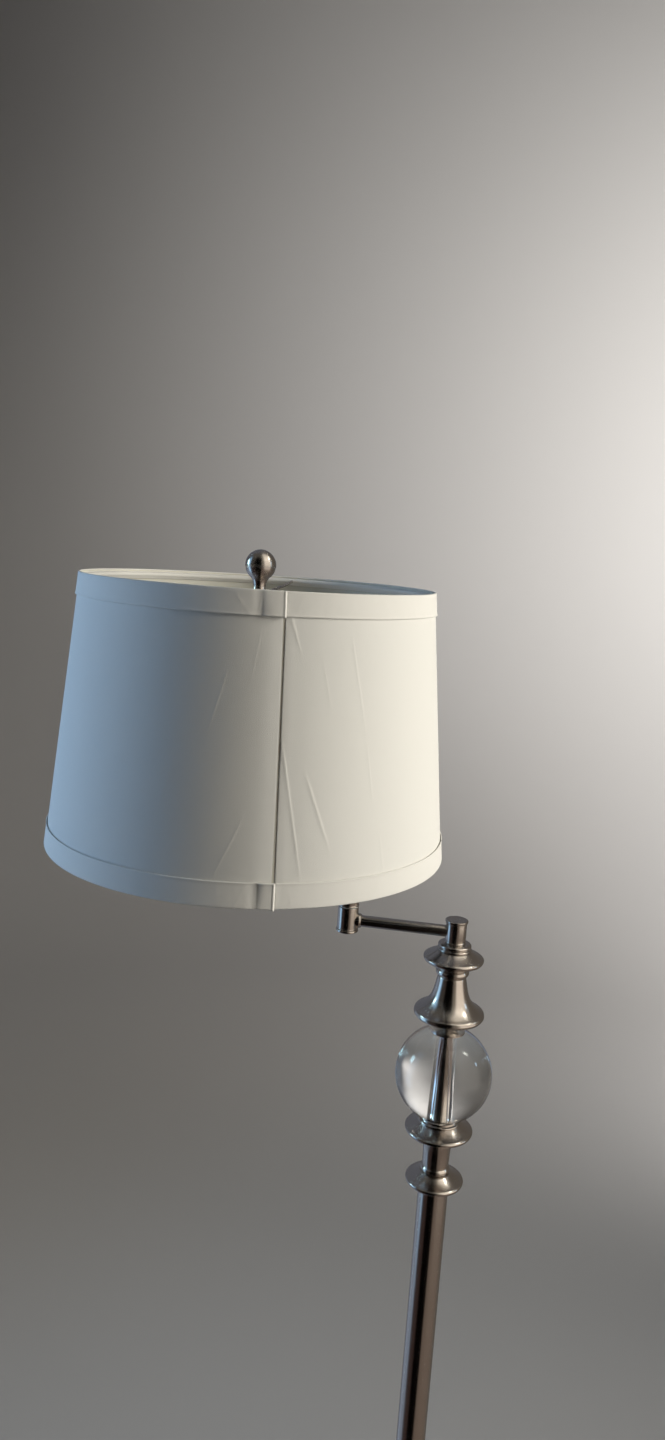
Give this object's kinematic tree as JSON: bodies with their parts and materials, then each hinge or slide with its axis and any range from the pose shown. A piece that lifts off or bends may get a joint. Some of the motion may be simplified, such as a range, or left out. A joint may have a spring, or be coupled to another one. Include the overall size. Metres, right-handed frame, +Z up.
{
  "type": "swing-arm floor lamp",
  "caption": "Floor lamp with a round weighted base, a straight metal pole, turned discs and a clear glass ball, a folding swing arm, and a tapered fabric drum shade on a harp.",
  "frame": {"origin": "centre of the base pad's underside, on the pole's axis, at floor level", "axes": "+Z up along the pole; the extended arms run along -X; -Y is the front, the side the switch knob faces"},
  "size_m": [0.5405, 0.381, 1.496],
  "materials": {
    "brushed_nickel": "satin brushed nickel plate",
    "zinc_steel": "zinc-plated steel",
    "cast_iron": "raw cast iron ballast",
    "black_pad": "dense foam-rubber pad",
    "black_plastic": "moulded phenolic or nylon, black",
    "nylon": "natural nylon",
    "clear_glass": "polished clear glass",
    "frosted_bulb": "inside-frosted glass",
    "aluminium": "bare drawn aluminium",
    "shade_fabric": "off-white plain-woven fabric",
    "shade_trim": "off-white folded fabric tape",
    "shade_liner": "translucent styrene shade backing",
    "socket_liner": "fibre insulating sleeve"
  },
  "bodies": {
    "stand": {"base_pad": "black_pad", "base_cover": "brushed_nickel", "base_weight": "cast_iron", "base_washer": "zinc_steel", "base_nut": "zinc_steel", "base_stud": "zinc_steel", "cord_bushing": "black_plastic", "foot_collar": "brushed_nickel", "lower_pole": "brushed_nickel", "pole_joint": "brushed_nickel", "upper_pole": "brushed_nickel", "upper_pole_plug": "zinc_steel", "column_rod": "zinc_steel", "lower_disc": "brushed_nickel", "spool": "brushed_nickel", "ball_dish": "brushed_nickel", "glass_ball": "clear_glass", "ball_tube": "brushed_nickel", "bell": "brushed_nickel", "bead_ring": "brushed_nickel", "top_disc": "brushed_nickel", "pivot_seat": "brushed_nickel", "pivot_post": "zinc_steel", "pivot_nut": "zinc_steel"},
    "inner_arm": {"inner_arm_hub": "brushed_nickel", "pivot_cap": "brushed_nickel", "inner_arm_tube": "brushed_nickel", "lower_knuckle": "brushed_nickel", "knuckle_bottom_cap": "brushed_nickel", "knuckle_washer": "nylon", "knuckle_pin": "zinc_steel", "knuckle_nut": "zinc_steel"},
    "outer_arm": {"upper_knuckle": "brushed_nickel", "knuckle_top_cap": "brushed_nickel", "outer_arm_tube": "brushed_nickel", "end_hub": "brushed_nickel", "socket_riser": "brushed_nickel", "harp_saddle": "brushed_nickel", "socket_cap": "brushed_nickel", "socket_shell": "brushed_nickel", "socket_liner": "socket_liner", "switch_block": "black_plastic", "screw_shell": "aluminium", "harp": "brushed_nickel", "harp_stud": "brushed_nickel"},
    "switch": {"switch_shaft": "zinc_steel", "switch_knob": "black_plastic"},
    "left_sleeve": {"harp_sleeve_left": "brushed_nickel"},
    "right_sleeve": {"harp_sleeve_right": "brushed_nickel"},
    "bulb": {"bulb_base": "aluminium", "bulb_globe": "frosted_bulb"},
    "shade": {"shade_fabric": "shade_fabric", "shade_liner": "shade_liner", "shade_top_trim": "shade_trim", "shade_bottom_trim": "shade_trim", "shade_bottom_ring": "brushed_nickel", "shade_spider": "brushed_nickel"},
    "finial": {"finial": "brushed_nickel"}
  },
  "joints": [
    {"name": "shoulder_pivot", "type": "hinge", "parent": "stand", "child": "inner_arm", "pos_m": [0, 0, 1.14712], "axis": [0, 0, 1], "range_deg": [-170, 170]},
    {"name": "elbow_pivot", "type": "hinge", "parent": "inner_arm", "child": "outer_arm", "pos_m": [-0.105, 0, 1.16112], "axis": [0, 0, 1], "range_deg": [-170, 170]},
    {"name": "switch_turn", "type": "hinge", "parent": "outer_arm", "child": "switch", "pos_m": [-0.21, -0.022, 1.22402], "axis": [0, -1, 0], "continuous": true},
    {"name": "left_sleeve_lift", "type": "slide", "parent": "outer_arm", "child": "left_sleeve", "axis": [0, 0, 1], "range_m": [0, 0.01]},
    {"name": "right_sleeve_lift", "type": "slide", "parent": "outer_arm", "child": "right_sleeve", "axis": [0, 0, 1], "range_m": [0, 0.01]},
    {"name": "bulb_screw", "type": "hinge", "parent": "outer_arm", "child": "bulb", "pos_m": [-0.21, 0, 1.25862], "axis": [0, 0, 1], "continuous": true},
    {"name": "shade_turn", "type": "hinge", "parent": "outer_arm", "child": "shade", "pos_m": [-0.21, 0, 1.45382], "axis": [0, 0, 1], "continuous": true},
    {"name": "finial_screw", "type": "hinge", "parent": "outer_arm", "child": "finial", "pos_m": [-0.21, 0, 1.45562], "axis": [0, 0, 1], "continuous": true}
  ]
}
